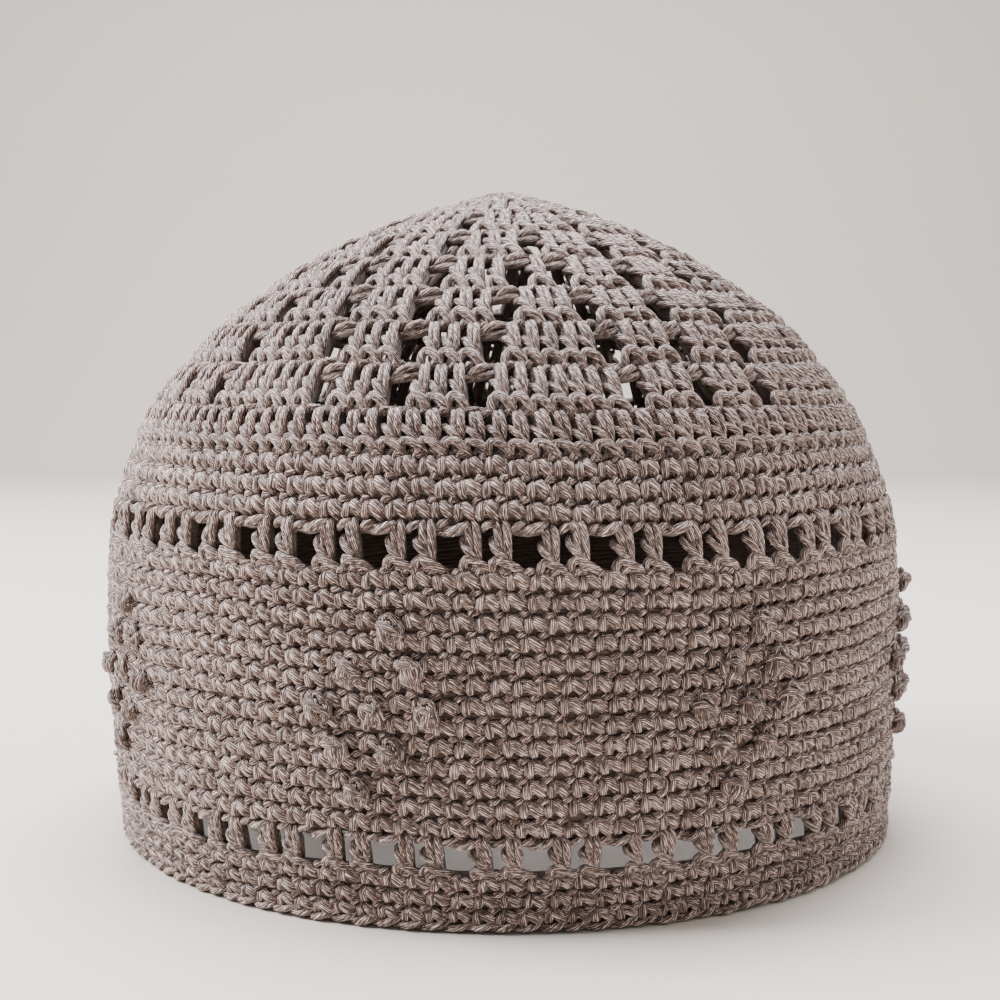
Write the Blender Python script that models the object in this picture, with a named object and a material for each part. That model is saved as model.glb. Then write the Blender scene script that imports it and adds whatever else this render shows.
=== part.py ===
# A crochet kufi cap, worked in rounds from the top of the crown to the rim.
# Metres, +Z up, the rim on z = 0, the front towards -Y.
import math

import bmesh
import bpy
from mathutils import Matrix, Vector

# Radii of the cap's outer face
RIM_RADIUS = 0.0880
WIDEST_RADIUS = 0.0900
CROWN_RADIUS = 0.0825

# Height of the widest place, and how quickly the side curves in below and above it
WIDEST_HEIGHT = 0.0420
CURVE_BELOW = 2.5
CURVE_ABOVE = 2.9

# Heights of one round in each band of rounds
EDGE_HEIGHT = 0.0014
HEM_ROUND_HEIGHT = 0.0031
LOWER_EYELET_HEIGHT = 0.0068
BAND_ROUND_HEIGHT = 0.00372
UPPER_EYELET_HEIGHT = 0.0086
UPPER_ROUND_HEIGHT = 0.0040
CROWN_HEIGHT = 0.0552

# Rounds in each band of rounds
HEM_ROUNDS = 3
BAND_ROUNDS = 13
UPPER_ROUNDS = 3

# The crochet wall, the grooves between rounds, and the gap between two pieces
WALL = 0.0032
SHORT_GROOVE = 0.0009
TALL_GROOVE = 0.0013
EDGE_ROUNDING = 0.0006
GAP = 0.0003

# Eyelets in the two open rounds
EYELETS = 40
EYELET_WIDTH = 0.0046
EYELET_BAR = 0.0013
LOWER_EYELET_TURN = math.radians(3.5)
UPPER_EYELET_TURN = math.radians(2.3)

# Holes in the crown: size, and where they sit in their round
REPEATS = 8
HOLE_WIDTH = 0.0042
HOLE_HEIGHT_SHARE = 0.46
HOLE_MIDDLE_SHARE = 0.36
HOLE_SIDES = 6
SPOKE_TURN = math.radians(-15.0)

# Bobbles on the band
BOBBLE_RADIUS = 0.0027
BOBBLE_RELIEF = 0.0022
BOBBLE_SIDES = 5
MOTIF_TURN = math.radians(-15.3)
MOTIF_LEAN = math.radians(0.50)
BOBBLE_SPACING = math.radians(3.35)

# Facets round the cap
FACETS = 32

# The pieces of the side from the rim up: name, height of one round, and rounds
SIDE_PIECES = (
    # name, round height, rounds
    ("edge_chain", EDGE_HEIGHT, 1),
    ("hem_rounds", HEM_ROUND_HEIGHT, HEM_ROUNDS),
    ("lower_eyelet_round", LOWER_EYELET_HEIGHT, 1),
    ("bobble_band", BAND_ROUND_HEIGHT, BAND_ROUNDS),
    ("upper_eyelet_round", UPPER_EYELET_HEIGHT, 1),
    ("upper_rounds", UPPER_ROUND_HEIGHT, UPPER_ROUNDS),
)

# The crown's rounds from its foot to its top: number counted from the top, and the
# shares of the crown's height and radius that the round's upper edge reaches
CROWN_ROUNDS = (
    # number, height share, radius share
    (8, 0.147, 0.948),
    (7, 0.302, 0.861),
    (6, 0.449, 0.770),
    (5, 0.574, 0.657),
    (4, 0.699, 0.527),
    (3, 0.804, 0.388),
    (2, 0.886, 0.261),
    (1, 0.947, 0.133),
    (0, 1.000, 0.000),
)

# The crown's holes: round number, and side of the wedge (0 is the spoke between two wedges)
CROWN_HOLES = (
    # round, side
    (7, -1),
    (7, 0),
    (7, 1),
    (6, -1),
    (6, 1),
)

# One motif of bobbles: band round counted from the top, and places along it in bobble spacings
MOTIF = (
    # round, places
    (3, (0,)),
    (5, (-1, 1)),
    (7, (-2, 0, 2)),
    (9, (-1, 1)),
    (11, (0,)),
)

YARN_COLOUR = (0.40, 0.32, 0.27, 1.0)
YARN_SHADE = {"crown": 1.00, "rounds": 0.97, "open": 0.94, "edge": 1.03}


# The cap's outer face, in the (radius, height) plane

def blend(a, b, share):
    return (a[0] + (b[0] - a[0]) * share, a[1] + (b[1] - a[1]) * share)


def outward(a, b):
    # The direction out of the wall, for a wall that runs up from a to b
    length = math.dist(a, b)
    return ((b[1] - a[1]) / length, (a[0] - b[0]) / length)


def shifted(point, direction, distance):
    return (max(point[0] + direction[0] * distance, 0.0), point[1] + direction[1] * distance)


def side_radius(z, side_height):
    if z <= WIDEST_HEIGHT:
        drop = 1.0 - z / WIDEST_HEIGHT
        return WIDEST_RADIUS - (WIDEST_RADIUS - RIM_RADIUS) * drop ** CURVE_BELOW
    rise = (z - WIDEST_HEIGHT) / (side_height - WIDEST_HEIGHT)
    return WIDEST_RADIUS - (WIDEST_RADIUS - CROWN_RADIUS) * rise ** CURVE_ABOVE


def outline():
    # The edges of all rounds from the rim to the top, each with the wall's outward
    # direction there, cut into one stretch for each piece
    heights = [0.0]
    ends = {}
    for name, height, rounds in SIDE_PIECES:
        first = len(heights) - 1
        heights += [heights[-1] + height * (i + 1) for i in range(rounds)]
        ends[name] = (first, len(heights))
    foot = heights[-1]
    edges = [(side_radius(z, foot), z) for z in heights]
    ends["crown"] = (len(edges) - 1, len(edges) + len(CROWN_ROUNDS))
    for number, height_share, radius_share in CROWN_ROUNDS:
        edges.append((CROWN_RADIUS * radius_share, foot + CROWN_HEIGHT * height_share))

    flats = [outward(a, b) for a, b in zip(edges, edges[1:])]
    normals = [flats[0]]
    for a, b in zip(flats, flats[1:]):
        length = math.hypot(a[0] + b[0], a[1] + b[1])
        normals.append(((a[0] + b[0]) / length, (a[1] + b[1]) / length))
    normals.append((0.0, 1.0))
    return {name: (edges[a:b], normals[a:b]) for name, (a, b) in ends.items()}


def trimmed(edges, low, high):
    # The same edges with the first and last drawn in, which leaves the gap between pieces
    first = blend(edges[0], edges[1], low / math.dist(edges[0], edges[1]))
    last = blend(edges[-1], edges[-2], high / math.dist(edges[-1], edges[-2]))
    return [first] + edges[1:-1] + [last]


def ribbed_profile(edges, normals, groove, inner_step):
    # Outer face: a groove at each edge and a ridge in each round, with no groove at a
    # closed top. Inner face: smooth.
    depths = [0.0 if edge[0] == 0.0 else groove for edge in edges]
    outer = [shifted(edges[0], normals[0], -depths[0])]
    for i in range(1, len(edges)):
        outer.append(blend(edges[i - 1], edges[i], 0.5))
        outer.append(shifted(edges[i], normals[i], -depths[i]))
    last = len(edges) - 1
    kept = [last] + list(range(last - 1, 0, -inner_step)) + [0]
    return outer + [shifted(edges[i], normals[i], -WALL) for i in kept]


# Meshes

def place(angle, radius, z):
    # Angles are counted from the front, towards +X
    return Vector((radius * math.sin(angle), -radius * math.cos(angle), z))


def turn_profile(bm, profile, angles):
    # A closed profile carried round the cap's axis, one row of faces for each of its sides
    columns = []
    for angle in angles:
        columns.append([bm.verts.new(place(angle, r, z)) for r, z in profile])
    faces = {}
    count = len(profile)
    for i, column in enumerate(columns):
        following = columns[(i + 1) % len(columns)]
        for j in range(count):
            k = (j + 1) % count
            if profile[j][0] == 0.0 and profile[k][0] == 0.0:
                continue
            faces[i, j] = bm.faces.new((column[j], following[j], following[k], column[k]))
    return columns, faces


def even_angles(count):
    return [2.0 * math.pi * i / count for i in range(count)]


def finish(name, bm, shade):
    bmesh.ops.remove_doubles(bm, verts=bm.verts[:], dist=0.000001)
    bmesh.ops.recalc_face_normals(bm, faces=bm.faces[:])
    mesh = bpy.data.meshes.new(name)
    bm.to_mesh(mesh)
    bm.free()
    mesh.shade_smooth()
    mesh.set_sharp_from_angle(angle=math.radians(40.0))
    part = bpy.data.objects.new(name, mesh)
    bpy.context.collection.objects.link(part)
    mesh.materials.append(yarn(name, YARN_SHADE[shade]))
    return part


def yarn(name, shade):
    material = bpy.data.materials.new(name + "_yarn")
    material.use_nodes = True
    surface = material.node_tree.nodes["Principled BSDF"]
    surface.inputs["Base Color"].default_value = [c * shade for c in YARN_COLOUR[:3]] + [1.0]
    surface.inputs["Roughness"].default_value = 0.85
    surface.inputs["Metallic"].default_value = 0.0
    return material


def combine(part, tool, operation):
    # Unites or cuts a piece with a hidden tool
    tool.hide_render = True
    tool.display_type = "WIRE"
    boolean = part.modifiers.new(tool.name, "BOOLEAN")
    boolean.operation = operation
    boolean.object = tool
    return boolean


# The pieces

def ribbed_ring(name, edges, normals, groove, inner_step, shade):
    bm = bmesh.new()
    turn_profile(bm, ribbed_profile(edges, normals, groove, inner_step), even_angles(FACETS))
    return finish(name, bm, shade)


def eyelet_round(name, edges, normals, turn):
    low, high = edges
    bar = EYELET_BAR / math.dist(low, high)
    shares = [0.0, bar, 1.0 - bar, 1.0]
    depths = [SHORT_GROOVE, 0.0, 0.0, SHORT_GROOVE]
    levels = [(blend(low, high, share), blend(*normals, share)) for share in shares]
    outer = [shifted(point, out, -depth) for (point, out), depth in zip(levels, depths)]
    inner = [shifted(point, out, -WALL) for point, out in reversed(levels)]

    # Columns of faces alternate between an eyelet and the post beside it
    half_open = EYELET_WIDTH / 2.0 / low[0]
    angles = []
    for middle in even_angles(EYELETS):
        angles += [turn + middle - half_open, turn + middle + half_open]

    bm = bmesh.new()
    columns, faces = turn_profile(bm, outer + inner, angles)
    for i in range(0, len(angles), 2):
        left, right = columns[i], columns[i + 1]
        bmesh.ops.delete(bm, geom=[faces[i, 1], faces[i, 5]], context="FACES_ONLY")
        bm.faces.new((left[1], right[1], right[6], left[6]))
        bm.faces.new((left[2], right[2], right[5], left[5]))
        bm.faces.new((left[1], left[2], left[5], left[6]))
        bm.faces.new((right[1], right[2], right[5], right[6]))
    return finish(name, bm, "open")


def edge_chain(edges, normals):
    # Rounded outside and inside, with a flat foot that the cap stands on
    (low, high), top = edges, normals[1]
    waist = blend(low, high, 0.5)
    outer = [(low[0] - EDGE_ROUNDING, low[1]), waist, shifted(high, top, -EDGE_ROUNDING)]
    inner = [shifted(high, top, EDGE_ROUNDING - WALL), (waist[0] - WALL, waist[1])]
    foot = (low[0] + EDGE_ROUNDING - WALL, low[1])
    bm = bmesh.new()
    turn_profile(bm, outer + inner + [foot], even_angles(FACETS))
    return finish("edge_chain", bm, "edge")


def bobbles(edges):
    # Balls sunk in at the lower edges of rounds, so that their relief stands out of the ridges
    bm = bmesh.new()
    for number, places in MOTIF:
        radius, z = edges[-number - 1]
        lean = MOTIF_LEAN * ((BAND_ROUNDS + 1) / 2.0 - number)
        for repeat in even_angles(REPEATS):
            for along in places:
                angle = MOTIF_TURN + repeat + lean + along * BOBBLE_SPACING
                middle = place(angle, radius + BOBBLE_RELIEF - BOBBLE_RADIUS, z)
                facing = Matrix.Rotation(angle, 4, "Z") @ Matrix.Rotation(math.pi / 2.0, 4, "X")
                bmesh.ops.create_uvsphere(
                    bm, u_segments=BOBBLE_SIDES, v_segments=3, radius=BOBBLE_RADIUS,
                    matrix=Matrix.Translation(middle) @ facing)
    return finish("bobbles", bm, "rounds")


def crown_holes(edges):
    # Prisms that point straight out of the wall
    bm = bmesh.new()
    rounds = [row[0] for row in CROWN_ROUNDS]
    repeat = 2.0 * math.pi / REPEATS
    for number, side in CROWN_HOLES:
        low, high = edges[rounds.index(number)], edges[rounds.index(number) + 1]
        middle = blend(low, high, HOLE_MIDDLE_SHARE)
        out = outward(low, high)
        # A round has two stitches in each repeat more than the round above it, and they
        # all go into the wedge between its two side holes
        stitch = repeat / (2.0 * (number + 1))
        side_turn = repeat / 2.0 + side * (number - 3.0) * stitch
        size = Matrix.Diagonal((HOLE_WIDTH / 2.0, HOLE_HEIGHT_SHARE * math.dist(low, high) / 2.0, 1.0, 1.0))
        for spoke in even_angles(REPEATS):
            angle = SPOKE_TURN + spoke + (side_turn if side else 0.0)
            facing = Matrix.Rotation(angle, 4, "Z") @ Matrix.Rotation(math.atan2(out[0], out[1]), 4, "X")
            bmesh.ops.create_cone(
                bm, cap_ends=True, segments=HOLE_SIDES, radius1=1.0, radius2=1.0, depth=WALL * 4.0,
                matrix=Matrix.Translation(place(angle, *middle)) @ facing @ size)
    return finish("crown_holes", bm, "crown")


def main():
    for item in list(bpy.data.objects):
        bpy.data.objects.remove(item, do_unlink=True)

    pieces = outline()
    half_gap = GAP / 2.0
    for name, (edges, normals) in pieces.items():
        low = 0.0 if name == "edge_chain" else half_gap
        high = 0.0 if name == "crown" else half_gap
        pieces[name] = (trimmed(edges, low, high), normals)

    edge_chain(*pieces["edge_chain"])
    ribbed_ring("hem_rounds", *pieces["hem_rounds"], SHORT_GROOVE, HEM_ROUNDS, "rounds")
    eyelet_round("lower_eyelet_round", *pieces["lower_eyelet_round"], LOWER_EYELET_TURN)
    band = ribbed_ring("bobble_band", *pieces["bobble_band"], SHORT_GROOVE, 4, "rounds")
    combine(band, bobbles(pieces["bobble_band"][0]), "UNION")
    eyelet_round("upper_eyelet_round", *pieces["upper_eyelet_round"], UPPER_EYELET_TURN)
    ribbed_ring("upper_rounds", *pieces["upper_rounds"], SHORT_GROOVE, UPPER_ROUNDS, "rounds")
    crown = ribbed_ring("crown", *pieces["crown"], TALL_GROOVE, 2, "crown")
    combine(crown, crown_holes(pieces["crown"][0]), "DIFFERENCE")


main()
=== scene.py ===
import bpy
import bmesh
import math
import numpy as np
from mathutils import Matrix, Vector


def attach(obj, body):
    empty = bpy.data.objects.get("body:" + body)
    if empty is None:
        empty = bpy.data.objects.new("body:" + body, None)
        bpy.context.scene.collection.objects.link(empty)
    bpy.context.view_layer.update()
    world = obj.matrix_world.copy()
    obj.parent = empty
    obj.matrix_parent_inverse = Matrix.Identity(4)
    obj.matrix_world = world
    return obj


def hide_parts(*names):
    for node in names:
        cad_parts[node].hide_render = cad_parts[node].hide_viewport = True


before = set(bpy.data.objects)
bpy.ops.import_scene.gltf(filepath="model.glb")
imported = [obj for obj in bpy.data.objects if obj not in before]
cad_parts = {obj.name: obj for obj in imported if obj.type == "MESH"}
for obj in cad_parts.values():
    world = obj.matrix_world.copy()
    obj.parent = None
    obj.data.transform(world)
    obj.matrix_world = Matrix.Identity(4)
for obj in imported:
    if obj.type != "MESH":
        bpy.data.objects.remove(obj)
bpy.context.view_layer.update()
print("frame loaded:", sorted(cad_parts))

mm = 0.001
chance = np.random.default_rng(11)

# The cap's outer face, as the solids have it, in millimetres
cap = dict(
    rimRadius=88.0, widestRadius=90.0, crownRadius=82.5,
    widestHeight=42.0, curveBelow=2.5, curveAbove=2.9,
    crownHeight=55.2,
    repeats=8, stitches=128, eyelets=40,
)

# Bands of rounds from the rim up: height of one round, and how many
bands = dict(
    edge=(1.4, 1),
    hem=(3.1, 3),
    lowerEyelets=(6.8, 1),
    band=(3.72, 13),
    upperEyelets=(8.6, 1),
    upper=(4.0, 3),
)

# The crown's tall rounds from its foot to its top, counted from the top, with the
# shares of the crown's height and radius that each round's upper edge reaches; the
# yarn stands out about 1 mm more than the solids halfway up
crownRounds = [
    (8, 0.147, 0.950),
    (7, 0.302, 0.867),
    (6, 0.449, 0.781),
    (5, 0.574, 0.671),
    (4, 0.699, 0.543),
    (3, 0.804, 0.405),
    (2, 0.886, 0.276),
    (1, 0.947, 0.145),
    (0, 1.000, 0.000),
]

# Hand-made unevenness of the whole cap: size in mm, waves round it, waves up it, start;
# then how far from the rim, the top and the cap's axis it has its full size, in mm
uneven = dict(
    radial=[(0.50, 2, 0.020, 0.7), (0.35, 3, -0.035, 2.1), (0.22, 5, 0.060, 4.0), (0.12, 11, 0.090, 1.0)],
    upward=[(0.30, 3, 0.030, 1.0), (0.22, 7, 0.070, 3.0), (0.10, 13, -0.050, 0.3)],
    fullAboveRim=7.0, fullBelowTop=30.0, fullRadius=40.0,
)


# where things are on the cap

def capEdges():
    # radius and height of every edge between two rounds, and each band's first edge
    heights = [0.0]
    first = {}
    for name, (height, count) in bands.items():
        first[name] = len(heights) - 1
        heights += [heights[-1] + height * (i + 1) for i in range(count)]
    foot = heights[-1]
    edges = []
    for z in heights:
        if z <= cap["widestHeight"]:
            drop = 1.0 - z / cap["widestHeight"]
            swell = cap["widestRadius"] - cap["rimRadius"]
            edges.append((cap["widestRadius"] - swell * drop ** cap["curveBelow"], z))
        else:
            rise = (z - cap["widestHeight"]) / (foot - cap["widestHeight"])
            swell = cap["widestRadius"] - cap["crownRadius"]
            edges.append((cap["widestRadius"] - swell * rise ** cap["curveAbove"], z))
    first["crown"] = len(edges) - 1
    for _, heightShare, radiusShare in crownRounds:
        edges.append((cap["crownRadius"] * radiusShare, foot + cap["crownHeight"] * heightShare))
    return np.array(edges), first


edges, firstEdge = capEdges()
edgeRun = np.concatenate([[0.0], np.cumsum(np.hypot(*np.diff(edges, axis=0).T))])
edgeSlope = np.gradient(edges, edgeRun, axis=0)
edgeSlope[-1] = (-1.0, 0.0)   # the crown closes flat


def outlineAt(run):
    # a smooth curve through the edges: point and outward direction at each run from the rim
    run = np.clip(run, 0.0, edgeRun[-1] - 0.001)
    i = np.clip(np.searchsorted(edgeRun, run, side="right") - 1, 0, len(edgeRun) - 2)
    span = edgeRun[i + 1] - edgeRun[i]
    t = ((run - edgeRun[i]) / span)[..., None]
    a, b = edges[i], edges[i + 1]
    da, db = edgeSlope[i] * span[..., None], edgeSlope[i + 1] * span[..., None]
    point = (2*t**3 - 3*t**2 + 1)*a + (t**3 - 2*t**2 + t)*da + (3*t**2 - 2*t**3)*b + (t**3 - t**2)*db
    slope = (6*t**2 - 6*t)*a + (3*t**2 - 4*t + 1)*da + (6*t - 6*t**2)*b + (3*t**2 - 2*t)*db
    slope /= np.linalg.norm(slope, axis=-1, keepdims=True)
    return point, np.stack([slope[..., 1], -slope[..., 0]], -1)


def onCap(angle, run, across, out):
    # metres; angles count from the front towards +X, the rest is in mm on the cap's face
    for size, waves, rise, start in uneven["upward"]:
        fade = np.clip(run / uneven["fullAboveRim"], 0.0, 1.0)
        fade = fade * np.clip((edgeRun[-1] - run) / uneven["fullBelowTop"], 0.0, 1.0)
        run = run + size * fade * np.sin(waves * angle + rise * run + start)
    point, normal = outlineAt(run)
    radius = point[..., 0] + normal[..., 0] * out
    z = point[..., 1] + normal[..., 1] * out
    fade = np.clip(radius / uneven["fullRadius"], 0.0, 1.0)
    for size, waves, rise, start in uneven["radial"]:
        radius = radius + size * fade * np.sin(waves * angle + rise * run + start)
    sine, cosine = np.sin(angle), np.cos(angle)
    place = np.stack([radius*sine + across*cosine, -radius*cosine + across*sine, z], -1)
    return place * mm


def roundRun(edge):
    return edgeRun[edge], edgeRun[edge + 1]


# strands of yarn

strandMake = dict(
    sides=6,
    plyWidth=0.42,      # mm
    plySet=3,           # plies come in sets of this many round a strand
    endFatness=0.85,    # a strand's ends against its middle
)


def strandMesh(points, thickness, steps):
    # points are across, up, out and fatness, in mm; a bevelled curve makes the tube
    sides = strandMake["sides"]
    curve = bpy.data.curves.new("strand", "CURVE")
    curve.dimensions = "3D"
    curve.bevel_depth = thickness / 2
    curve.bevel_resolution = (sides - 4) // 2
    curve.use_fill_caps = True
    curve.resolution_u = steps
    spline = curve.splines.new("BEZIER")
    spline.bezier_points.add(len(points) - 1)
    for knot, (across, up, out, fat) in zip(spline.bezier_points, points):
        knot.co = (across, up, out)
        knot.radius = fat
        knot.handle_left_type = knot.handle_right_type = "AUTO"
    holder = bpy.data.objects.new("strand", curve)
    bpy.context.scene.collection.objects.link(holder)
    shapes = bpy.context.evaluated_depsgraph_get()
    mesh = bpy.data.meshes.new_from_object(holder.evaluated_get(shapes), depsgraph=shapes)

    places = np.empty((len(mesh.vertices), 3))
    mesh.vertices.foreach_get("co", places.ravel())
    corners = np.empty(len(mesh.loops), int)
    mesh.loops.foreach_get("vertex_index", corners)
    starts = np.empty(len(mesh.polygons), int)
    mesh.polygons.foreach_get("loop_start", starts)
    totals = np.empty(len(mesh.polygons), int)
    mesh.polygons.foreach_get("loop_total", totals)

    # along the strand in mm, and round it in plies with its seam kept apart
    rings = places.reshape(-1, sides, 3).mean(1)
    run = np.concatenate([[0.0], np.cumsum(np.linalg.norm(np.diff(rings, axis=0), axis=1))])
    side = corners % sides
    for start, total in zip(starts, totals):
        face = side[start:start + total]
        if total == 4 and face.max() - face.min() > 1:
            face[face == 0] = sides
    sets = round(math.pi * thickness / strandMake["plyWidth"] / strandMake["plySet"])
    plies = strandMake["plySet"] * sets
    unwrapped = np.stack([run[corners // sides], side * plies / sides], -1)

    bpy.data.objects.remove(holder)
    bpy.data.curves.remove(curve)
    bpy.data.meshes.remove(mesh)
    return dict(places=places, corners=corners, totals=totals, unwrapped=unwrapped)


def bundle(strands, variants, sway):
    # the strands of one stitch, made a few times with their points moved a little
    made = []
    for _ in range(variants):
        tubes = []
        for thickness, steps, points in strands:
            points = np.array(points, float)
            if points.shape[1] == 3:
                points = np.concatenate([points, np.ones((len(points), 1))], 1)
            points[1:-1, :3] += chance.normal(0.0, sway, (len(points) - 2, 3))
            points[[0, -1], 3] *= strandMake["endFatness"]
            tubes.append(strandMesh(points, thickness, steps))
        joined = dict(places=[], corners=[], totals=[], unwrapped=[], strand=[])
        offset = 0
        for number, tube in enumerate(tubes):
            joined["places"].append(tube["places"])
            joined["corners"].append(tube["corners"] + offset)
            joined["totals"].append(tube["totals"])
            joined["unwrapped"].append(tube["unwrapped"])
            joined["strand"].append(np.full(len(tube["corners"]), number))
            offset += len(tube["places"])
        made.append({key: np.concatenate(value) for key, value in joined.items()})
    return made


# What varies between one stitch and the next
handmade = dict(
    stretch=0.05, stretchUp=0.03,       # shares of its size
    shear=0.30, slide=0.16,             # mm
    slideUp=0.112, lift=0.12,           # mm
    limit=2.0,                          # no more than this many times the usual
    narrowest=0.55, widest=1.6,         # how far a stitch is squeezed to fit its place
    yarnStart=40.0, strandStart=0.7,    # where the pattern of the yarn starts, in mm and plies
)


def stitch(cells, variants, width, height, loose=1.0, paler=0.0):
    # cells are angle, low run, high run and angular width; the result is one part of a mesh;
    # loose multiplies what varies, and paler moves the stitches' random tone; the bobbles use it for
    # painted shade
    cells = np.array(cells, float)
    pick = chance.integers(0, len(variants), len(cells))
    parts = []
    for number, shape in enumerate(variants):
        angle, low, high, wide = cells[pick == number].T[:, :, None]
        count = len(angle)
        limit = handmade["limit"]
        draw = np.clip(chance.normal(0.0, 1.0, (6, count, 1)), -limit, limit) * loose
        x, y, z = shape["places"].T[:, None, :]
        x = x * (1.0 + handmade["stretch"]*draw[0]) + handmade["shear"]*draw[1]*(y/height - 0.5)
        x = x + handmade["slide"] * draw[2]
        y = y * (1.0 + handmade["stretchUp"]*draw[3]) + handmade["slideUp"]*draw[4]
        out = z + handmade["lift"] * draw[5]
        run = low + (high - low) * y / height
        radius = outlineAt(run)[0][..., 0]
        squeeze = np.clip(wide * radius / width, handmade["narrowest"], handmade["widest"])
        places = onCap(angle, run, x * squeeze, out)
        corners = shape["corners"] + np.arange(count)[:, None] * len(shape["places"])
        unwrapped = shape["unwrapped"] + chance.uniform(0.0, handmade["yarnStart"], (count, 1, 2))
        unwrapped[..., 1] += shape["strand"] * handmade["strandStart"]
        toneAndShade = np.broadcast_to(chance.normal(paler, 1.0, (count, 1)), run.shape)
        parts.append(dict(
            places=places.reshape(-1, 3), depth=out.ravel(), toneAndShade=toneAndShade.ravel(),
            corners=corners.ravel(), totals=np.tile(shape["totals"], count),
            unwrapped=unwrapped.reshape(-1, 2),
        ))
    return joinParts(parts)


def joinParts(parts):
    offset = 0
    joined = {key: [] for key in parts[0]}
    for part in parts:
        for key, value in part.items():
            joined[key].append(value + offset if key == "corners" else value)
        offset += len(part["places"])
    return {key: np.concatenate(value) for key, value in joined.items()}


def yarnPiece(name, parts, nodes):
    data = joinParts(parts)
    mesh = bpy.data.meshes.new(name)
    mesh.vertices.add(len(data["places"]))
    mesh.vertices.foreach_set("co", data["places"].astype(np.float32).ravel())
    mesh.loops.add(len(data["corners"]))
    mesh.loops.foreach_set("vertex_index", data["corners"].astype(np.int32))
    starts = np.concatenate([[0], np.cumsum(data["totals"])[:-1]])
    mesh.polygons.add(len(starts))
    mesh.polygons.foreach_set("loop_start", starts.astype(np.int32))
    mesh.polygons.foreach_set("loop_total", data["totals"].astype(np.int32))
    mesh.update(calc_edges=True)
    unwrapped = mesh.uv_layers.new(name="strand").uv
    unwrapped.foreach_set("vector", data["unwrapped"].astype(np.float32).ravel())
    for key in ("depth", "toneAndShade"):
        values = mesh.attributes.new(key, "FLOAT", "POINT").data
        values.foreach_set("value", data[key].astype(np.float32))
    mesh.shade_smooth()
    return finishPiece(bpy.data.objects.new(name, mesh), yarn, nodes)


def finishPiece(piece, material, nodes):
    bpy.context.scene.collection.objects.link(piece)
    piece.data.materials.append(material)
    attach(piece, "root")
    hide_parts(*nodes)
    triangles = sum(len(face.vertices) - 2 for face in piece.data.polygons)
    print("made", piece.name, triangles, "triangles")
    return piece


# shader expressions

class Wire:
    # a node socket that Python's own operators work on

    def __init__(self, tree, socket):
        self.tree = tree
        self.socket = socket

    def maths(self, operation, *values):
        return node(self.tree, "ShaderNodeMath", dict(operation=operation), values)

    def __add__(self, other):
        return self.maths("ADD", self, other)

    def __radd__(self, other):
        return self.maths("ADD", other, self)

    def __sub__(self, other):
        return self.maths("SUBTRACT", self, other)

    def __rsub__(self, other):
        return self.maths("SUBTRACT", other, self)

    def __mul__(self, other):
        return self.maths("MULTIPLY", self, other)

    def __rmul__(self, other):
        return self.maths("MULTIPLY", other, self)

    def __mod__(self, other):
        return self.maths("FLOORED_MODULO", self, other)

    def __rmod__(self, other):
        return self.maths("FLOORED_MODULO", other, self)

    def __pow__(self, other):
        return self.maths("POWER", self, other)

    def __rpow__(self, other):
        return self.maths("POWER", other, self)

    def wave(self):
        return self.maths("SINE", self * (2.0 * math.pi))

    def floor(self):
        return self.maths("FLOOR", self)

    def size(self):
        return self.maths("ABSOLUTE", self)

    def between(self, low, high):
        # 0 at low and 1 at high, and no further
        limits = {"Value": self, "From Min": low, "From Max": high}
        return node(self.tree, "ShaderNodeMapRange", {}, limits)


def node(tree, kind, settings, values, output=0):
    # any shader node: its settings first, then the values or links of its sockets
    made = tree.nodes.new(kind)
    for key, value in settings.items():
        if key == "stops":
            for i, (place, colour) in enumerate(value):
                stop = made.color_ramp.elements[i] if i < 2 else made.color_ramp.elements.new(place)
                stop.position = place
                stop.color = colour
        else:
            setattr(made, key, value)
    pairs = values.items() if isinstance(values, dict) else enumerate(values)
    for key, value in pairs:
        if isinstance(value, Wire):
            tree.links.new(value.socket, made.inputs[key])
        else:
            made.inputs[key].default_value = value
    return Wire(tree, made.outputs[output])


def newMaterial(name):
    material = bpy.data.materials.new(name)
    material.use_nodes = True
    tree = material.node_tree
    return material, tree, tree.nodes["Principled BSDF"]


# the yarn: silky plies twisted loosely together

yarnLook = dict(
    twist=0.85,                         # plies passed in a mm along a strand
    wander=0.9, wanderScale=0.55,       # how far a ply strays, in plies, and how often
    # the pale end of this ramp is reached mostly on the ply crests and glints, where it is a painted
    # highlight; the dark end mostly in the furrows between plies, where it is painted shade; middle is the
    # yarn's own brown
    pale=(0.93, 0.735, 0.675, 1.0),
    middle=(0.226, 0.136, 0.103, 1.0),
    dark=(0.036, 0.019, 0.012, 1.0),
    # painted shade: yarn lying deep between and behind the stitches is painted this darker colour, fully at
    # deepAt and not at all at openAt
    recessShade=(0.100, 0.062, 0.044, 1.0),    # between the stitches
    middleStop=0.45,
    deepAt=-2.1, openAt=-0.55,          # mm out from the cap's face
    # ply and glint set how strongly the ply crests and glints are painted as highlights, with painted shade
    # in the furrows between
    ground=0.03, ply=0.62, glint=2.2,   # how much of the tone each thing makes
    plyShade=0.3, fibre=0.8, patch=0.25, toneAndShade=0.04,
    roundness=1.5,                      # of a ply
    glintScale=(0.9, 0.8),              # along the strand and across the plies
    fibreScale=(0.5, 2.6),
    patchScale=28.0,                    # in a metre
    plyDepth=0.18, fibreDepth=0.06,     # mm
    roughness=0.32, fibreRoughness=0.2,
    sheen=0.22, sheenRoughness=0.4, specular=0.45,
)


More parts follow.
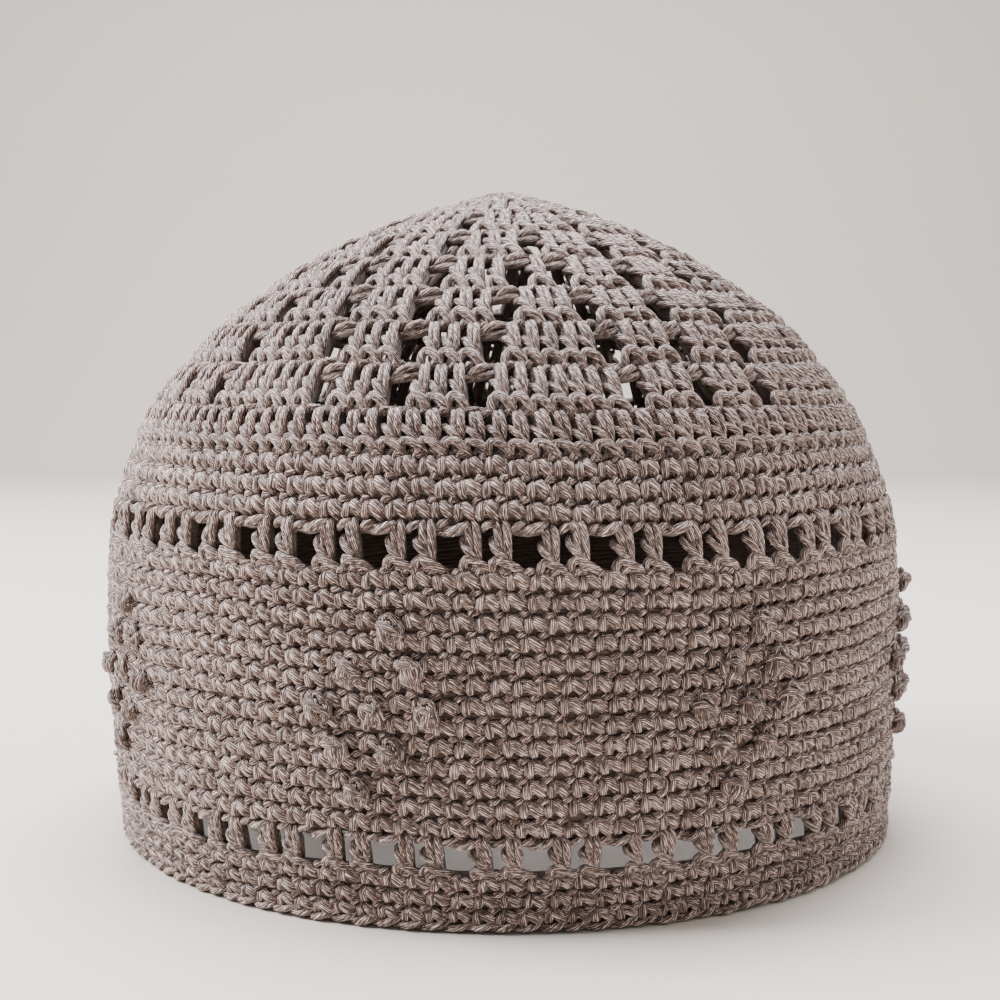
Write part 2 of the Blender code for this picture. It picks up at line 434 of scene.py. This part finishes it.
def makeYarn():
    material, tree, surface = newMaterial("cottonYarn")
    strand = node(tree, "ShaderNodeUVMap", dict(uv_map="strand"), {})
    split = node(tree, "ShaderNodeSeparateXYZ", {}, [strand])
    along = split
    around = Wire(tree, split.socket.node.outputs[1])

    stray = node(tree, "ShaderNodeTexNoise", dict(noise_dimensions="2D"),
                 {"Vector": strand, "Scale": yarnLook["wanderScale"], "Detail": 1.0})
    ply = around + along * yarnLook["twist"] + stray * yarnLook["wander"]
    crest = (ply * 0.5).wave().size() ** yarnLook["roundness"]
    pick = node(tree, "ShaderNodeCombineXYZ", {}, [ply.floor() % strandMake["plySet"], 0.0, 0.0])
    shade = node(tree, "ShaderNodeTexWhiteNoise", dict(noise_dimensions="2D"), {"Vector": pick})
    fineAlong, fineAcross = yarnLook["fibreScale"]
    fineAt = node(tree, "ShaderNodeCombineXYZ", {}, [along * fineAlong, ply * fineAcross, 0.0])
    fibres = node(tree, "ShaderNodeTexNoise", dict(noise_dimensions="2D"),
                  {"Vector": fineAt, "Scale": 1.0, "Detail": 3.0, "Roughness": 0.6})
    glintAlong, glintAcross = yarnLook["glintScale"]
    glintAt = node(tree, "ShaderNodeCombineXYZ", {}, [along * glintAlong, ply * glintAcross, 5.0])
    glints = node(tree, "ShaderNodeTexNoise", dict(noise_dimensions="2D"),
                  {"Vector": glintAt, "Scale": 1.0, "Detail": 1.0})

    where = node(tree, "ShaderNodeTexCoord", {}, {}, output=3)
    patches = node(tree, "ShaderNodeTexNoise", {},
                   {"Vector": where, "Scale": yarnLook["patchScale"], "Detail": 2.0})
    depth = node(tree, "ShaderNodeAttribute", dict(attribute_name="depth"), {}, output=2)
    toneAndShade = node(tree, "ShaderNodeAttribute", dict(attribute_name="toneAndShade"), {}, output=2)

    # painted highlight and shade: each ply's crest is painted paler and its furrow darker, and the glints
    # paint broken highlights along the crests; the per-ply tone, fibres and patches vary the yarn's own
    # tone at random
    light = yarnLook["ground"] + crest * (yarnLook["ply"] + (glints - 0.5) * yarnLook["glint"])
    light = light + (shade - 0.5) * yarnLook["plyShade"] + (fibres - 0.5) * yarnLook["fibre"]
    # the per-stitch tone varies at random from stitch to stitch, and on the bobbles it is lowered to paint
    # shade
    light = light + (patches - 0.5) * yarnLook["patch"] + toneAndShade * yarnLook["toneAndShade"]
    stops = [(0.0, yarnLook["dark"]), (1.0, yarnLook["pale"]), (yarnLook["middleStop"], yarnLook["middle"])]
    tone = node(tree, "ShaderNodeValToRGB", dict(stops=stops), [light])
    # painted shade: the deeper the yarn lies behind the cap's face, the more of the shade colour it takes;
    # the thick strands and rings behind the tall stitches take it almost fully
    unshaded = depth.between(yarnLook["deepAt"], yarnLook["openAt"])
    shaded = node(tree, "ShaderNodeMix", dict(data_type="RGBA"),
                  {0: unshaded, 6: yarnLook["recessShade"], 7: tone}, output=2)
    tree.links.new(shaded.socket, surface.inputs["Base Color"])

    rough = yarnLook["roughness"] + fibres * yarnLook["fibreRoughness"]
    tree.links.new(rough.socket, surface.inputs["Roughness"])
    relief = crest * yarnLook["plyDepth"] + fibres * yarnLook["fibreDepth"]
    bump = node(tree, "ShaderNodeBump", {}, {"Height": relief, "Distance": mm, "Strength": 1.0})
    tree.links.new(bump.socket, surface.inputs["Normal"])
    surface.inputs["Sheen Weight"].default_value = yarnLook["sheen"]
    surface.inputs["Sheen Roughness"].default_value = yarnLook["sheenRoughness"]
    surface.inputs["Specular IOR Level"].default_value = yarnLook["specular"]
    return material


yarn = makeYarn()
print("yarn material ready")


# short stitches: a leg and an arch of yarn, a short strand at the arch's shoulder, one that
# fills in behind them, and the small loop beside the top; every stitch is drawn in mm and
# then stretched to its round

shortStitch = dict(
    width=4.4, height=3.6, variants=4, sway=0.09,
    drift=0.13, starts=dict(hem=0.2, band=0.0, upper=0.4),   # in stitches
    strands=[
        # thickness, steps between two points, points: across, up, out and where given fatness
        (2.00, 1, [(-1.50, 0.20, -2.30), (-1.65, 0.85, -1.00), (-1.50, 1.90, -0.90), (-1.10, 2.65, -2.00)]),
        (2.20, 1, [(-0.95, 2.40, -1.90), (-0.15, 2.20, -0.85), (0.85, 1.30, -0.95), (1.45, 0.25, -2.30)]),
        (1.90, 1, [(0.40, 2.60, -2.10), (1.10, 1.90, -1.15), (1.95, 0.90, -2.00)]),
        (2.20, 1, [(-2.30, 1.35, -1.75), (2.30, 1.45, -1.75)]),
        (1.40, 1, [(0.75, 2.60, -1.80), (1.65, 3.15, -0.75), (2.60, 3.35, -1.70)]),
    ],
)
shortShapes = bundle(shortStitch["strands"], shortStitch["variants"], shortStitch["sway"])


def shortRounds(firstRound, count, start):
    cells = []
    wide = 2.0 * math.pi / cap["stitches"]
    for row in range(count):
        low, high = roundRun(firstRound + row)
        for i in range(cap["stitches"]):
            cells.append(((i + start + shortStitch["drift"] * row) * wide, low, high, wide))
    return stitch(cells, shortShapes, shortStitch["width"], shortStitch["height"])


# tall stitches: a post of two strands, a wrap, the arch at its foot with a short strand
# under it, the loop at its head, and a thick strand that fills in behind them

tallStitch = dict(
    width=3.8, height=10.8, variants=4, sway=0.10,
    strands=[
        (1.40, 2, [(0.20, 10.8, -1.60), (0.40, 9.7, -0.70), (0.90, 6.0, -0.55), (1.05, 2.2, -1.80)]),
        (1.35, 2, [(-0.80, 10.6, -1.60), (-0.65, 9.4, -0.75), (-0.20, 6.0, -0.70), (0.30, 3.0, -1.70)]),
        (1.50, 2, [(-2.10, 7.0, -2.10), (-1.40, 5.8, -0.90), (-0.25, 4.2, -0.40), (1.20, 2.4, -1.40)]),
        (1.90, 2, [(-1.30, -1.2, -2.30), (-1.85, 1.0, -1.10), (-1.20, 2.6, -0.75),
                   (0.20, 2.3, -0.45), (1.50, 0.9, -0.80), (2.60, -0.8, -2.00)]),
        (1.60, 1, [(-0.80, -0.8, -2.20), (0.20, 0.7, -1.55), (1.60, -0.9, -2.20)]),
        (1.60, 1, [(0.50, 9.6, -2.00), (1.80, 10.5, -1.00), (3.20, 11.2, -1.90)]),
        (3.40, 1, [(-0.60, 10.6, -2.50), (0.20, 5.5, -2.50), (0.90, 0.0, -2.50)]),
    ],
)
tallShapes = bundle(tallStitch["strands"], tallStitch["variants"], tallStitch["sway"])

# the chained strands over a hole in the crown
holeChain = dict(
    width=4.6, height=10.8, variants=3, sway=0.12,
    holeShare=1.25, wideFrom=3,   # a hole is this much wider than a post, from this round down
    strands=[
        (1.50, 2, [(-2.2, 8.1, -1.7, 0.7), (-0.9, 8.6, -0.60, 1.0),
                   (1.0, 9.7, -0.55, 1.0), (2.6, 10.4, -1.7, 0.7)]),
        (1.90, 2, [(-2.9, 7.6, -2.0, 1.0), (0.2, 7.9, -1.5, 1.0), (2.9, 8.9, -2.0, 1.0)]),
    ],
)
holeShapes = bundle(holeChain["strands"], holeChain["variants"], holeChain["sway"])

# what one repeat of each tall round holds, from the spoke on: o is a hole, the rest are posts
crownCharts = {
    8: "|" * 16,
    7: "o|||o|||||||o|||",
    6: "o|||o|||||o|||",
    5: "o|||o|||o|||",
    4: "o|||o|o|||",
    3: "o|||o|||",
    2: "o|||||",
    1: "||||",
    0: "||",
}
spokeTurn = math.radians(-15.0)


def tallRounds(numbers):
    posts, holes = [], []
    for number in numbers:
        row = [r[0] for r in crownRounds].index(number)
        low, high = roundRun(firstEdge["crown"] + row)
        chart = crownCharts[number]
        share = holeChain["holeShare"] if number >= holeChain["wideFrom"] else 1.0
        sizes = np.array([share if mark == "o" else 1.0 for mark in chart])
        wides = sizes / sizes.sum() * 2.0 * math.pi / cap["repeats"]
        middles = np.cumsum(wides) - wides / 2.0 - wides[0] / 2.0
        for repeat in range(cap["repeats"]):
            for mark, wide, middle in zip(chart, wides, middles):
                angle = spokeTurn + repeat * 2.0 * math.pi / cap["repeats"] + middle
                (holes if mark == "o" else posts).append((angle, low, high, wide))
    parts = [stitch(posts, tallShapes, tallStitch["width"], tallStitch["height"])]
    if holes:
        parts.append(stitch(holes, holeShapes, holeChain["width"], holeChain["height"]))
    return parts


# open rounds: two posts and one opening in each repeat, under a row of slanted chain

openRound = dict(
    height=8.6, width=3.9, sway=0.12,
    variants=dict(post=4, leaf=3, loop=3),
    lowerTurn=math.radians(3.5), upperTurn=math.radians(2.3),
    posts=[0.309, 0.711],             # shares of the repeat, from the opening's middle
    loops=[0.542, 0.900],
    post=[
        (1.60, 2, [(0.45, 8.5, -1.60), (0.65, 7.4, -0.70), (0.95, 4.7, -0.60), (1.05, 0.9, -1.20)]),
        (1.60, 2, [(-0.85, 8.4, -1.70), (-0.70, 7.2, -0.80), (-0.40, 4.9, -0.80), (-0.25, 1.0, -1.30)]),
        (1.50, 2, [(-0.80, 5.7, -2.30), (-1.75, 5.1, -1.50), (-1.45, 4.0, -0.70),
                   (-0.55, 2.9, -0.40), (0.90, 1.5, -1.00)]),
        (1.80, 2, [(-1.70, -1.5, -2.20), (-1.80, 0.3, -1.15), (-1.05, 1.4, -0.75),
                   (0.50, 1.0, -0.50), (2.10, 0.2, -0.80), (3.60, -0.6, -1.80)]),
        (2.10, 1, [(-1.20, -1.0, -2.00), (0.20, 0.2, -1.40), (2.10, -0.9, -2.00)]),
        (2.50, 1, [(-0.40, 8.6, -2.30), (0.30, 4.5, -2.20), (0.80, -0.5, -2.30)]),
    ],
    leaf=[
        (1.80, 2, [(-0.8, 6.5, -1.8, 0.6), (0.8, 6.9, -0.60, 1.0),
                   (2.8, 7.7, -0.50, 1.0), (4.4, 8.5, -1.6, 0.6)]),
        (2.30, 2, [(-2.8, 7.4, -2.3, 1.0), (0.4, 7.0, -1.8, 1.0), (3.2, 7.4, -2.3, 1.0)]),
    ],
    loop=[
        (1.50, 2, [(-1.3, 6.8, -1.9), (-0.1, 7.6, -0.60), (1.3, 8.3, -1.80)]),
    ],
)
openPosts, openLeaves, openLoops = [
    bundle(openRound[part], count, openRound["sway"]) for part, count in openRound["variants"].items()]


def openRoundParts(edge, turn):
    low, high = roundRun(edge)
    pitch = 2.0 * math.pi / cap["eyelets"]
    wide = openRound["width"] / edges[edge][0]
    starts = turn + pitch * np.arange(cap["eyelets"])
    posts = [(a + pitch*share, low, high, wide) for a in starts for share in openRound["posts"]]
    loops = [(a + pitch*share, low, high, wide) for a in starts for share in openRound["loops"]]
    leaves = [(a, low, high, wide) for a in starts]
    size = (openRound["width"], openRound["height"])
    kinds = [(posts, openPosts), (leaves, openLeaves), (loops, openLoops)]
    return [stitch(cells, shapes, *size) for cells, shapes in kinds]


# bobbles: strands wound over a small ball

bobble = dict(
    turn=math.radians(-15.3), lean=math.radians(0.50), spacing=math.radians(3.35),
    rounds=[(3, (0,)), (5, (-1, 1)), (7, (-2, 0, 2)), (9, (-1, 1)), (11, (0,))],
    width=5.0, wide=5.7, height=3.6,   # mm: as drawn, as laid on the band, and up
    variants=5, sway=0.16,
    ball=1.75, middle=-0.35, stray=(10.0, 18.0, 0.16),   # degrees, degrees and mm
    # painted shade: the bobbles' yarn is made darker than the rest of the cap's yarn
    loose=1.3, paler=-2.5,
    windings=[
        # thickness, turn to the side, lean, low end and high end in degrees
        (1.85, -50, 8, -78, 58),
        (1.90, 0, 22, -88, 68),
        (1.85, 50, 10, -80, 60),
    ],
    wraps=[
        (1.50, 2, [(-1.9, 0.9, 0.0), (-0.7, 1.5, 1.4), (0.8, 0.5, 1.7), (1.9, -0.7, 0.4)]),
        (1.20, 2, [(-0.7, 1.4, 0.4), (-0.5, 2.6, 0.3), (0.6, 2.6, 0.5), (1.2, 1.2, 0.9)]),
        (3.20, 1, [(0.0, -1.2, -0.6), (0.0, 0.0, -0.2), (0.0, 1.2, -0.6)]),
    ],
)


def windings():
    # the strands that run over the ball from its foot to its head, no two balls alike
    strands = list(bobble["wraps"])
    for thickness, turn, lean, low, high in bobble["windings"]:
        turn = turn + chance.normal(0.0, bobble["stray"][0])
        lean = lean + chance.normal(0.0, bobble["stray"][1])
        ball = bobble["ball"] + chance.normal(0.0, bobble["stray"][2])
        points = []
        for share in (0.0, 0.33, 0.67, 1.0):
            rise = math.radians(low + (high - low) * share)
            side = math.radians(turn + lean * (2.0 * share - 1.0))
            reach = ball * math.cos(rise)
            out = bobble["middle"] + reach * math.cos(side)
            points.append((reach * math.sin(side), ball * math.sin(rise), out))
        strands.append((thickness, 2, points))
    return strands


bobbleShapes = [bundle(windings(), 1, bobble["sway"])[0] for _ in range(bobble["variants"])]


def bobblePlaces():
    # band round counted from the bottom, and angle
    places = []
    count = bands["band"][1]
    for number, marks in bobble["rounds"]:
        lean = bobble["lean"] * ((count + 1) / 2.0 - number)
        for repeat in range(cap["repeats"]):
            for mark in marks:
                turn = repeat * 2.0 * math.pi / cap["repeats"]
                places.append((count - number, bobble["turn"] + turn + lean + mark * bobble["spacing"]))
    return places


def bobbleCells():
    cells = []
    for row, angle in bobblePlaces():
        middle = edgeRun[firstEdge["band"] + row]
        cells.append((angle, middle, middle + bobble["height"], bobble["wide"] / cap["widestRadius"]))
    return cells


# the chained edge at the rim

edgeChain = dict(
    width=4.2, height=1.4, variants=4, sway=0.06,
    strands=[
        (1.40, 2, [(-3.0, 0.60, -1.9), (-1.3, 0.75, -0.55), (0.9, 1.30, -0.35), (3.0, 2.10, -1.70)]),
        (1.50, 2, [(-2.4, 1.00, -2.1), (0.0, 1.05, -1.5), (2.4, 1.00, -2.1)]),
    ],
)
edgeShapes = bundle(edgeChain["strands"], edgeChain["variants"], edgeChain["sway"])


def edgeCells():
    low, high = roundRun(0)
    wide = 2.0 * math.pi / cap["stitches"]
    return [(i * wide, low, high, wide) for i in range(cap["stitches"])]


# the loops that run along behind the feet of the tall stitches, and the ring at the very top
backRings = dict(
    knots=48, steps=2,
    rings=[
        # mm up from the round's lower edge, mm out, thickness
        (0.1, -2.50, 2.3),
    ],
    top=(2.6, -0.9, 1.9),
)


def ringPart(run, out, thickness):
    angles = np.linspace(0.0, 2.0 * math.pi, backRings["knots"] + 1)
    places = onCap(angles, np.full_like(angles, run), 0.0, out) / mm
    points = np.concatenate([places, np.ones((len(places), 1))], 1)
    ring = strandMesh(points, thickness, backRings["steps"])
    ring["places"] = ring["places"] * mm
    ring["depth"] = np.full(len(ring["places"]), out)
    ring["toneAndShade"] = np.zeros(len(ring["places"]))
    return ring


def crownRings():
    rings = []
    for row in range(len(crownRounds) - 1):
        low = edgeRun[firstEdge["crown"] + row]
        for up, out, thickness in backRings["rings"]:
            rings.append(ringPart(low + up, out, thickness))
    up, out, thickness = backRings["top"]
    rings.append(ringPart(edgeRun[-1] - up, out, thickness))
    return rings


def makePieces():
    starts = shortStitch["starts"]
    yarnPiece("edgeChainLinks", [stitch(edgeCells(), edgeShapes, edgeChain["width"], edgeChain["height"])],
              ["edge_chain"])
    yarnPiece("hemStitches", [shortRounds(firstEdge["hem"], bands["hem"][1], starts["hem"])],
              ["hem_rounds"])
    yarnPiece("lowerOpenRound", openRoundParts(firstEdge["lowerEyelets"], openRound["lowerTurn"]),
              ["lower_eyelet_round"])
    # the band is two pieces, because one would be too large
    half = bands["band"][1] // 2
    yarnPiece("bandStitchesLow", [shortRounds(firstEdge["band"], half, starts["band"])], ["bobble_band"])
    yarnPiece("bandStitchesHigh", [shortRounds(firstEdge["band"] + half, bands["band"][1] - half,
              starts["band"] + shortStitch["drift"] * half)], ["bobble_band"])
    yarnPiece("bandBobbles", [stitch(bobbleCells(), bobbleShapes, bobble["width"], bobble["height"],
              bobble["loose"], bobble["paler"])], ["bobble_band"])
    yarnPiece("upperOpenRound", openRoundParts(firstEdge["upperEyelets"], openRound["upperTurn"]),
              ["upper_eyelet_round"])
    yarnPiece("upperStitches", [shortRounds(firstEdge["upper"], bands["upper"][1], starts["upper"])],
              ["upper_rounds"])
    yarnPiece("crownStitchesLow", tallRounds([8, 7, 6]), ["crown"])
    yarnPiece("crownStitchesHigh", tallRounds([5, 4, 3, 2, 1, 0]), ["crown"])
    yarnPiece("crownBackLoops", crownRings(), ["crown"])


makePieces()


# the back of the short rounds, seen between their stitches and from inside; it lies deep enough to take the
# yarn's painted shade colour all over

backing = dict(
    # depth sets the backing fully in the painted shade colour
    front=-1.95, thickness=1.15, ripple=0.25, depth=-2.2,   # mm, out from the cap's face
    below=0.6, above=-0.3,                                  # mm past the first and last edge
    columns=256, perRound=2, plies=40.0,
    orderStep=100000,                                       # more than four corners' numbers add up to
)


def faceOrder(face):
    corners = [vert.index for vert in face.verts]
    return min(corners) * backing["orderStep"] + sum(corners)


def makeBacking(name, band, nodes):
    first = firstEdge[band]
    count = bands[band][1]
    bm = bmesh.new()
    unwrap = bm.loops.layers.uv.new("strand")
    rows = count * backing["perRound"]
    bmesh.ops.create_grid(bm, x_segments=backing["columns"], y_segments=rows, size=0.5)
    low, high = edgeRun[first] - backing["below"], edgeRun[first + count] + backing["above"]
    for face in bm.faces:
        for corner in face.loops:
            x, y = corner.vert.co.xy
            corner[unwrap].uv = ((y + 0.5) * (high - low), (x + 0.5) * backing["plies"])
    flat = np.array([v.co for v in bm.verts])
    run = low + (flat[:, 1] + 0.5) * (high - low)
    angle = (flat[:, 0] + 0.5) * 2.0 * math.pi
    ripple = backing["ripple"] * np.cos(2.0 * math.pi * (flat[:, 1] + 0.5) * count)
    places = onCap(angle, run, 0.0, backing["front"] + ripple)
    for vert, place in zip(bm.verts, places):
        vert.co = place
    bmesh.ops.remove_doubles(bm, verts=bm.verts[:], dist=0.00001)
    bmesh.ops.recalc_face_normals(bm, faces=bm.faces[:])
    bmesh.ops.solidify(bm, geom=bm.faces[:], thickness=backing["thickness"] * mm)
    bmesh.ops.recalc_face_normals(bm, faces=bm.faces[:])
    bm.verts.index_update()
    bm.faces.sort(key=faceOrder)   # solidify leaves them in another order each run
    mesh = bpy.data.meshes.new(name)
    bm.to_mesh(mesh)
    bm.free()
    for key, value in (("depth", backing["depth"]), ("toneAndShade", 0.0)):
        values = mesh.attributes.new(key, "FLOAT", "POINT").data
        values.foreach_set("value", np.full(len(mesh.vertices), value))
    mesh.shade_smooth()
    return finishPiece(bpy.data.objects.new(name, mesh), yarn, nodes)


makeBacking("hemBack", "hem", ["hem_rounds"])
makeBacking("bandBack", "band", ["bobble_band"])
makeBacking("upperBack", "upper", ["upper_rounds"])


# floor, light and camera

stage = dict(
    floorSize=6.0, wallDistance=1.6, wallHeight=3.0, bend=0.35, bendSteps=16,
    floor=(0.70, 0.64, 0.57, 1.0), floorRoughness=0.75,
    lightsAimAt=(0.0, 0.0, 0.07),
    # metres, metres, metres, degrees, mm and mm
    camera=dict(distance=0.360, side=-0.0009, height=0.0994, down=4.46, lens=55.9, sensor=36.0),
    lights=[
        # name, watts, size, place, colour
        ("windowLight", 42.0, 0.7, (-1.05, 0.05, 0.78), (0.97, 0.97, 1.0)),
        ("topLight", 48.0, 0.9, (0.0, 0.30, 1.25), (0.95, 0.94, 1.0)),
        ("rightLight", 7.0, 0.9, (1.15, 0.0, 0.55), (1.0, 0.95, 0.90)),
    ],
    world=(0.95, 0.97, 1.0, 1.0), worldStrength=0.28,
)


def makeStage():
    bm = bmesh.new()
    half = stage["floorSize"] / 2.0
    back = [bm.verts.new((x, stage["wallDistance"], 0.0)) for x in (-half, half)]
    front = [bm.verts.new((x, -half, 0.0)) for x in (-half, half)]
    top = [bm.verts.new((x, stage["wallDistance"], stage["wallHeight"])) for x in (-half, half)]
    bm.faces.new((front[0], front[1], back[1], back[0]))
    bm.faces.new((back[0], back[1], top[1], top[0]))
    bend = [edge for edge in bm.edges if set(edge.verts) == set(back)]
    bmesh.ops.bevel(bm, geom=bend, offset=stage["bend"], offset_type="OFFSET",
                    segments=stage["bendSteps"], profile=0.5, affect="EDGES", material=-1)
    mesh = bpy.data.meshes.new("floor")
    bm.to_mesh(mesh)
    bm.free()
    mesh.shade_smooth()
    floor = bpy.data.objects.new("floor", mesh)
    bpy.context.scene.collection.objects.link(floor)
    material, _, surface = newMaterial("floorPaint")
    surface.inputs["Base Color"].default_value = stage["floor"]
    surface.inputs["Roughness"].default_value = stage["floorRoughness"]
    mesh.materials.append(material)

    for name, watts, size, place, colour in stage["lights"]:
        light = bpy.data.lights.new(name, "AREA")
        light.energy = watts
        light.size = size
        light.color = colour
        holder = bpy.data.objects.new(name, light)
        bpy.context.scene.collection.objects.link(holder)
        holder.location = place
        away = Vector(place) - Vector(stage["lightsAimAt"])
        holder.rotation_euler = away.to_track_quat("Z", "Y").to_euler()

    world = bpy.data.worlds.new("softRoom")
    bpy.context.scene.world = world
    world.use_nodes = True
    room = world.node_tree.nodes["Background"]
    room.inputs["Color"].default_value = stage["world"]
    room.inputs["Strength"].default_value = stage["worldStrength"]

    view = stage["camera"]
    lens = bpy.data.cameras.new("photoView")
    lens.lens = view["lens"]
    lens.sensor_width = view["sensor"]
    camera = bpy.data.objects.new("photoView", lens)
    bpy.context.scene.collection.objects.link(camera)
    camera.location = (view["side"], -view["distance"], view["height"])
    camera.rotation_euler = (math.radians(90.0 - view["down"]), 0.0, 0.0)
    bpy.context.scene.camera = camera


makeStage()
print("stage ready")
